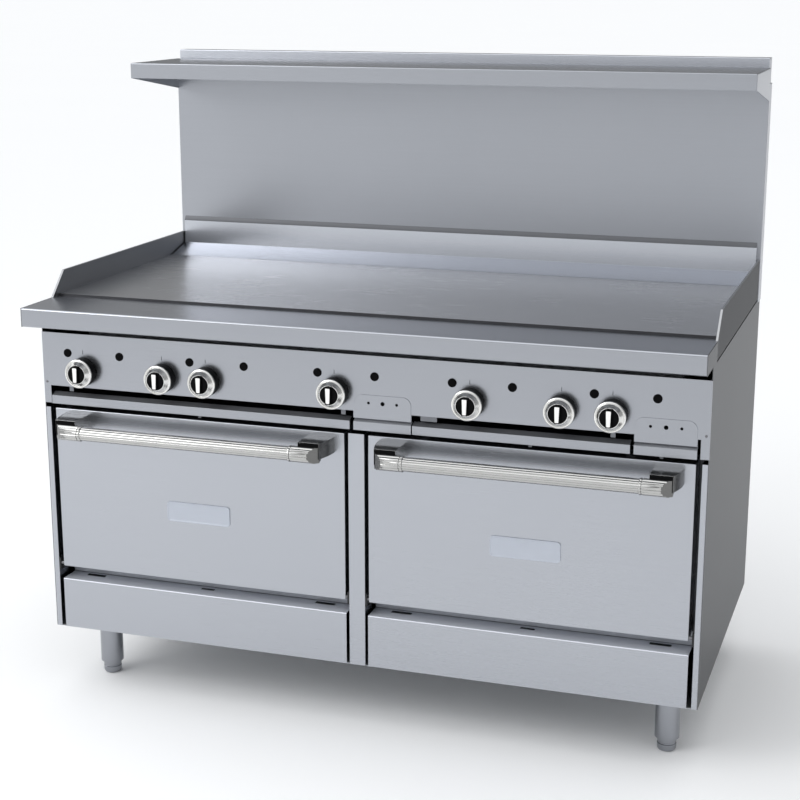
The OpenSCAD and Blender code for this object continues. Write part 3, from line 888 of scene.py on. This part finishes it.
def badge_plate(side, sizes):
    """A blank badge: round corners, a raised rim and a plain field."""
    low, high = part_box(f"door_badge_{side}")
    obj = box(f"badge_{side}", low, high)
    round_edges(obj, 8 * MM, 6, lambda middle, along: abs(along.y) > 0.9)
    bpy.ops.object.mode_set(mode="EDIT")
    pick(obj, "FACE", lambda middle, normal: normal.y < -0.9)
    bpy.ops.mesh.inset(thickness=sizes.badge_rim)
    bpy.ops.mesh.inset(thickness=0.8 * MM)
    bpy.ops.transform.translate(value=(0, 0.7 * MM, 0))
    bpy.ops.object.mode_set(mode="OBJECT")
    return soften(obj, 0.25 * MM)


def handles(sizes):
    for side in SIDES:
        body = f"door_{side}"
        place(handle_bar(side, sizes), "bright", body, "handle_chrome", f"handle_bar_{side}")
        low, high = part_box(f"handle_brackets_{side}")
        nodes = [f"handle_brackets_{side}"]
        for end, outer, inward in (("a", low.x, 1), ("b", high.x, -1)):
            arm = handle_arm(f"handle_arm_{side}_{end}", outer, inward, high.z)
            place(arm, "bright", body, "handle_chrome", *nodes)
            # Painted shade: the arm's outer side gets the much darker copy of the handle metal.
            refinish(arm, "socket", lambda middle, normal: normal.x * inward < -0.25)
            # Painted shade: the arm's front face, in shade behind the sleeve, gets the black knob plastic.
            refinish(arm, "knob", lambda middle, normal: normal.y < -0.95)
            elbow = handle_elbow(f"handle_elbow_{side}_{end}", side, outer, inward, sizes)
            place(elbow, "bright", body, "handle_chrome")
            # Painted shade: the elbow's outer end and mitre get the much darker copy of the handle metal.
            refinish(elbow, "socket", lambda middle, normal: normal.x * inward < -0.5)
            nodes = []


def handle_bar(side, sizes):
    """A long bar with shallow grooves, whose ends stop inside the sleeves."""
    low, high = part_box(f"handle_bar_{side}")
    radius = (high.z - low.z) / 2
    inset = 45 * MM
    start = (low.x + inset, (low.y + high.y) / 2, (low.z + high.z) / 2)
    profile = [(radius, 0), (radius, high.x - low.x - 2 * inset)]
    segments = 4 * sizes.flutes
    bar = turned(f"grip_bar_{side}", profile, (1, 0, 0), start, segments, groove=sizes.flute_depth)
    return soften(bar, 0)


def handle_arm(name, outer, inward, top):
    """A cast arm with a flat top, whose outer side curves out towards the door."""
    front = at(-ARM_REACH)
    back = at(-0.1)
    side_x = outer + inward * 8 * MM
    arm = box(name, (side_x, front, top - 35 * MM), (outer + inward * HANDLE_ARM, back, top))
    bpy.ops.object.mode_set(mode="EDIT")
    pick(arm, "EDGE", lambda middle, along: abs(along.y) > 0.9)
    bpy.ops.mesh.subdivide(number_cuts=ARM_STEPS - 1)
    near = 0.1 * MM
    for step in range(1, ARM_STEPS + 1):
        y = front + (back - front) * step / ARM_STEPS
        pick(arm, "VERT", lambda index, spot: abs(spot.x - side_x) < near and abs(spot.y - y) < near)
        share = (y - front) / (ARM_REACH * MM)
        bpy.ops.transform.translate(value=(-inward * ARM_FLARE * math.sin(share * math.pi / 2), 0, 0))
    bpy.ops.object.mode_set(mode="OBJECT")
    return soften(arm, 0.6 * MM, 3)


def handle_elbow(name, side, outer, inward, sizes):
    """A fluted sleeve round the bar's end and a block back to the arm, both mitred at the front corner."""
    bar_low, bar_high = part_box(f"handle_bar_{side}")
    axis_y = (bar_low.y + bar_high.y) / 2
    axis_z = (bar_low.z + bar_high.z) / 2
    radius = (bar_high.z - bar_low.z) / 2 + 2 * MM
    outer += inward * 8.2 * MM
    steps = ((1, 0), (1, 58.8), (0.92, 59.4), (0.92, 61.2), (1, 61.8), (1, 65.8), (0.93, 66.8))
    profile = [(share * radius, step * MM) for share, step in steps]
    start = (outer, axis_y, axis_z)
    sleeve = turned(name, profile, (inward, 0, 0), start, 4 * sizes.flutes, groove=1.35 * sizes.flute_depth)
    half = radius - 3.0 * MM
    end = (outer + inward * 30 * MM, at(-49), axis_z + half)
    block = box("block", (outer, axis_y - half, axis_z - half), end)
    round_edges(block, 13 * MM, 8, lambda middle, along: abs(along.x) > 0.99 and middle.y < axis_y)
    for part, depth in ((sleeve, 21.5 * MM), (block, 22 * MM)):
        only(part)
        bpy.ops.object.mode_set(mode="EDIT")
        bpy.ops.mesh.select_all(action="SELECT")
        corner = (outer + inward * depth, axis_y - radius, axis_z)
        bpy.ops.mesh.bisect(plane_co=corner, plane_no=(-inward, -1, 0), use_fill=True, clear_outer=True)
        bpy.ops.mesh.select_all(action="SELECT")
        bpy.ops.mesh.normals_make_consistent(inside=False)
        bpy.ops.object.mode_set(mode="OBJECT")
    return joined(name, [soften(sleeve, 0), soften(block, 0.6 * MM, 3)])


# ---- Controls ----


def knobs():
    for name in KNOBS:
        body = f"{name}_body"
        spot = middle_of(name)
        start = (spot.x, FRONT_Y, spot.z)
        outward = (0, -1, 0)
        steps = (
            (26, 1.5), (31.3, 1.5), (32, 3), (32.3, 22.9), (20.4, 22.9), (20.4, 34.8), (19.6, 35.8), (6, 36)
        )
        core = soften(turned(f"{name}_core", in_mm(steps), outward, start, 72), 0)
        stem = soften(turned("stem", in_mm(((4, -28), (4, 2))), outward, start, 24), 0)
        grip = soften(lever(f"{name}_grip", spot, 7.0, 6.3, 19, 35, 41), 0.7 * MM, 3)
        place(joined(f"{name}_core", [core, stem, grip]), "knob", body, "knob_plastic", name)
        steps = (
            (32.4, 23), (33, 23.5), (33, 25), (32, 26.5), (29.5, 27), (28.8, 26.2),
            (28, 26.4), (21.5, 34.4), (20.6, 34.4), (20.6, 23)
        )
        ring = turned(f"{name}_ring", in_mm(steps), outward, start, 72, closed=True)
        place(soften(ring, 0), "ring", body, "knob_plastic")
        insert = soften(lever(f"{name}_insert", spot, 5.2, 4.0, 16.5, 40.4, 42), 0.4 * MM, 3)
        place(insert, "insert", body, "knob_plastic")


def lever(name, spot, wide, narrow, half, near, far):
    """A bar across the knob in millimetres, slightly wider at its top, with round corners."""
    start = (spot.x - narrow * MM, at(-far), spot.z - half * MM)
    end = (spot.x + narrow * MM, at(-near), spot.z + half * MM)
    obj = box(name, start, end)
    bpy.ops.object.mode_set(mode="EDIT")
    pick(obj, "FACE", lambda middle, normal: normal.z > 0.9)
    bpy.ops.transform.resize(value=(wide / narrow, 1, 1), center_override=(spot.x, FRONT_Y, end[2]))
    bpy.ops.object.mode_set(mode="OBJECT")
    return round_edges(obj, 1.6 * MM, 4, lambda middle, along: abs(along.y) > 0.9)


def panel_screws():
    """Two slotted screws at the ends of the panel."""
    low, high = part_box("panel_screws")
    z = (low.z + high.z) / 2
    radius = (high.z - low.z) / 2
    steps = ((0.6, -2.0), (1.0, 0.05), (0.9, 0.7), (0.5, 1.15))
    profile = [(share * radius, step * MM) for share, step in steps]
    parts = []
    for x in (low.x + radius, high.x - radius):
        head = turned("screw", profile, (0, -1, 0), (x, FRONT_Y, z), 20)
        slot = box("slot", (x - radius, at(-3), z - 0.35 * MM), (x + radius, at(-0.8), z + 0.35 * MM))
        parts.append(cut(head, slot))
    place(soften(joined("panel_screw_set", parts), 0), "screw", BODY, "hardware_steel", "panel_screws")


def crumb_trays():
    for side in SIDES:
        node = f"crumb_tray_{side}"
        obj = soften(from_node(node, f"tray_{side}_sheet"), 0.25 * MM)
        # Painted shade: the trays get the darker front copy of the stainless.
        place(obj, "front", f"tray_{side}", "stainless_sheet", node)
        # Painted shadow: the tray's sloping top gets the much darker copy.
        refinish(obj, "painted_recess_shadow", rolled_slope)


# ---- Ovens ----


def oven_liners():
    """Each oven: a pressed box, the flange round its mouth and three pairs of rack guides."""
    half = 333 * MM
    floor = 320 * MM
    top = 650 * MM
    for side in SIDES:
        node = f"oven_liner_{side}"
        low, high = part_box(node)
        middle = middle_of(f"door_skin_{side}").x
        start = (middle - half, low.y, floor)
        end = (middle + half, high.y - 1.6 * MM, top)
        cavity = folded(f"oven_cavity_{side}", start, end, ("-Y",), 14 * MM, -1.5 * MM, segments=5)
        flange = box("flange", low, (high.x, low.y + 1.5 * MM, high.z))
        edge = 0.2 * MM
        start = (middle - half + edge, low.y - CUT, floor + edge)
        hole = box("hole", start, (middle + half - edge, low.y + CUT, top - edge))
        cut(flange, hole)
        guides = []
        for end in (-1, 1):
            wall = middle + end * (half - 0.1 * MM)
            inner = middle + end * (half - 10 * MM)
            for level in (388, 468, 548):
                z = level * MM
                guide = box("guide", (wall, low.y + 15 * MM, z), (inner, high.y - 17 * MM, z + 3 * MM))
                guides.append(soften(guide, 1.2 * MM, 3))
        obj = joined(f"oven_cavity_{side}", [cavity, soften(flange, 0.4 * MM), *guides])
        place(obj, "enamel", BODY, "oven_enamel", node)


# ---- Legs ----


def legs():
    low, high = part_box("legs")
    plate_half = 45 * MM
    plate_z = high.z - 4 * MM
    parts = []
    for node in FEET:
        x, y, _ = middle_of(node)
        end = (x + plate_half, y + plate_half, high.z)
        plate = box("plate", (x - plate_half, y - plate_half, plate_z), end)
        round_edges(plate, 8 * MM, 5, lambda middle, along: abs(along.z) > 0.9)
        rim = low.z
        profile = [
            (21.4 * MM, rim + 40 * MM), (21.4 * MM, rim + 0.6 * MM), (22.2 * MM, rim), (26.2 * MM, rim),
            (26.9 * MM, rim + 1.2 * MM), (26.9 * MM, plate_z - 0.5 * MM), (27 * MM, plate_z),
            (20 * MM, plate_z)
        ]
        tube = turned("tube", profile, (0, 0, 1), (x, y, 0), 64)
        parts += [soften(plate, 0.5 * MM), soften(tube, 0)]
        steps = (
            (12, 0), (16, 0), (18.5, 1.2), (20.3, 4), (21, 8), (21, 16), (19.6, 17), (19.6, 20), (21, 21),
            (21, 70)
        )
        foot = turned(f"{node}_stem", in_mm(steps), (0, 0, 1), (x, y, 0), 64)
        # Painted shade: the feet get the darker leg copy.
        place(soften(foot, 0), "leg", f"{node}_body", "leg_steel", node)
    # Painted shade: the leg tubes get the darker leg copy.
    place(joined("leg_tubes", parts), "leg", BODY, "leg_steel", "legs")


# ---- Inner parts that keep their shape ----


def inner_parts():
    """Gives the parts inside the range, which keep their CAD shape, their finishes."""
    finishes = {
        "zinc": ("rear_panel", "base_pan", "burner_box", "tray_runners"),
        "iron": ("gas_manifold", "gas_inlet", "griddle_burners", "oven_burners", "hinge_brackets"),
        "brass": ("griddle_valves",),
        "alloy": ("oven_thermostats",),
        "wire": ("oven_racks",),
        "screw": ("hinge_pins_left", "hinge_pins_right"),
    }
    for finish, nodes in finishes.items():
        for node in nodes:
            dress(node, finish)


# ---- Stage ----


def studio_world():
    """Soft surroundings: light from the front left, dimmer behind and to the right, and a box overhead."""
    world = bpy.data.worlds.new("soft_studio")
    world.use_nodes = True
    bpy.context.scene.world = world
    sky = Nodes(world.node_tree)
    way = sky.node("ShaderNodeTexCoord", output="Generated")

    def towards(direction):
        unit = Vector(direction).normalized()
        return sky.node("ShaderNodeVectorMath", {"operation": "DOT_PRODUCT"}, {0: way, 1: unit}, "Value")

    front = towards((-0.75, -0.66, 0.0)).between(-0.3, 0.9)
    overhead = towards((-0.20, -0.12, 1.0)).between(0.45, 0.9)
    strength = 0.34 + 0.5 * front + 1.05 * overhead
    inputs = {"Color": (0.97, 0.985, 1.0, 1.0), "Strength": strength}
    background = sky.node("ShaderNodeBackground", {}, inputs)
    sky.node("ShaderNodeOutputWorld", {}, {"Surface": background})


def stage():
    """Pale floor, soft light and a camera that looks down a little from the front right."""
    looks_down = math.radians(14.253)
    turned_left = math.radians(18.356)
    bpy.context.scene.view_settings.view_transform = "Standard"
    deselect()
    bpy.ops.mesh.primitive_plane_add(size=400.0, location=(0, 0, -0.2 * MM))
    floor = settle(fresh("studio_floor"))
    floor.data.materials.append(FINISH["floor"])
    studio_world()
    target = Vector((0, 0, 0.75))
    spot = Vector((-3.2, -3.6, 3.4))
    bpy.ops.object.light_add(type="AREA", location=spot)
    lamp = bpy.context.active_object
    lamp.name = "key_light"
    lamp.data.size = 2.2
    lamp.data.energy = 60.0
    lamp.rotation_euler = (target - spot).to_track_quat("-Z", "Y").to_euler()
    bpy.ops.object.camera_add(location=(1.1670, -3.5723, 1.6263))
    camera = bpy.context.active_object
    camera.rotation_euler = (math.pi / 2 - looks_down, 0, turned_left)
    camera.data.sensor_width = 36.0
    camera.data.lens = 74.745
    bpy.context.scene.camera = camera


# ---- Operators ----


class RANGE_OT_finishes(bpy.types.Operator):
    """Make the finishes and dress the inner parts"""

    bl_idname = "gas_range.finishes"
    bl_label = "Finishes"

    def execute(self, context):
        make_finishes(context.scene.range_colours)
        inner_parts()
        return {"FINISHED"}


class RANGE_OT_cabinet(bpy.types.Operator):
    """Add the side panels, the front posts and the panels below the doors"""

    bl_idname = "gas_range.cabinet"
    bl_label = "Cabinet"

    def execute(self, context):
        side_panels()
        posts(context.scene.range_sizes)
        kick_panels(context.scene.range_sizes)
        return {"FINISHED"}


class RANGE_OT_front_rail(bpy.types.Operator):
    """Add the rail along the top front"""

    bl_idname = "gas_range.front_rail"
    bl_label = "Front rail"

    def execute(self, context):
        front_rail()
        return {"FINISHED"}


class RANGE_OT_control_panel(bpy.types.Operator):
    """Add the control panel, its cover plates, marks, plugs, tabs and screws"""

    bl_idname = "gas_range.control_panel"
    bl_label = "Control panel"

    def execute(self, context):
        control_panel()
        index_marks()
        tray_stops()
        hole_plugs()
        panel_screws()
        return {"FINISHED"}


class RANGE_OT_griddle(bpy.types.Operator):
    """Add the griddle plate with its side splashes and the rear splash strip"""

    bl_idname = "gas_range.griddle"
    bl_label = "Griddle"

    def execute(self, context):
        griddle()
        return {"FINISHED"}


class RANGE_OT_backguard(bpy.types.Operator):
    """Add the boxed backguard"""

    bl_idname = "gas_range.backguard"
    bl_label = "Backguard"

    def execute(self, context):
        backguard(context.scene.range_sizes)
        return {"FINISHED"}


class RANGE_OT_high_shelf(bpy.types.Operator):
    """Add the high shelf with its lip and end plates"""

    bl_idname = "gas_range.high_shelf"
    bl_label = "High shelf"

    def execute(self, context):
        high_shelf(context.scene.range_sizes)
        return {"FINISHED"}


class RANGE_OT_doors(bpy.types.Operator):
    """Add both oven doors with their inner panels, seals and badges"""

    bl_idname = "gas_range.doors"
    bl_label = "Oven doors"

    def execute(self, context):
        doors(context.scene.range_sizes)
        return {"FINISHED"}


class RANGE_OT_handles(bpy.types.Operator):
    """Add the fluted handle bars and their cast ends"""

    bl_idname = "gas_range.handles"
    bl_label = "Door handles"

    def execute(self, context):
        handles(context.scene.range_sizes)
        return {"FINISHED"}


class RANGE_OT_knobs(bpy.types.Operator):
    """Add the seven knobs with their rings and inserts"""

    bl_idname = "gas_range.knobs"
    bl_label = "Knobs"

    def execute(self, context):
        knobs()
        return {"FINISHED"}


class RANGE_OT_crumb_trays(bpy.types.Operator):
    """Add the two crumb trays"""

    bl_idname = "gas_range.crumb_trays"
    bl_label = "Crumb trays"

    def execute(self, context):
        crumb_trays()
        return {"FINISHED"}


class RANGE_OT_oven_liners(bpy.types.Operator):
    """Add the two enamelled ovens"""

    bl_idname = "gas_range.oven_liners"
    bl_label = "Oven liners"

    def execute(self, context):
        oven_liners()
        return {"FINISHED"}


class RANGE_OT_legs(bpy.types.Operator):
    """Add the leg tubes and the adjustable feet"""

    bl_idname = "gas_range.legs"
    bl_label = "Legs"

    def execute(self, context):
        legs()
        return {"FINISHED"}


class RANGE_OT_stage(bpy.types.Operator):
    """Add the floor, the lights and the camera"""

    bl_idname = "gas_range.stage"
    bl_label = "Studio stage"

    def execute(self, context):
        stage()
        return {"FINISHED"}


OPERATORS = (
    RANGE_OT_finishes, RANGE_OT_cabinet, RANGE_OT_front_rail, RANGE_OT_control_panel, RANGE_OT_griddle,
    RANGE_OT_backguard, RANGE_OT_high_shelf, RANGE_OT_doors, RANGE_OT_handles, RANGE_OT_knobs,
    RANGE_OT_crumb_trays, RANGE_OT_oven_liners, RANGE_OT_legs, RANGE_OT_stage
)


class RANGE_PT_panel(bpy.types.Panel):
    """Lists the range's sizes, colours and pieces"""

    bl_label = "Gas range"
    bl_space_type = "VIEW_3D"
    bl_region_type = "UI"
    bl_category = "Range"

    def draw(self, context):
        for group in (context.scene.range_sizes, context.scene.range_colours):
            for name in group.__annotations__:
                self.layout.prop(group, name)
        for operator in OPERATORS:
            self.layout.operator(operator.bl_idname)


CLASSES = (RangeSizes, RangeColours, *OPERATORS, RANGE_PT_panel)


def register():
    for cls in CLASSES:
        bpy.utils.register_class(cls)
    bpy.types.Scene.range_sizes = bpy.props.PointerProperty(type=RangeSizes)
    bpy.types.Scene.range_colours = bpy.props.PointerProperty(type=RangeColours)


def unregister():
    del bpy.types.Scene.range_sizes
    del bpy.types.Scene.range_colours
    for cls in reversed(CLASSES):
        bpy.utils.unregister_class(cls)


def main():
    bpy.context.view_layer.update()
    register()
    for operator in OPERATORS:
        getattr(bpy.ops.gas_range, operator.bl_idname.split(".")[1])()


if __name__ == "__main__":
    main()
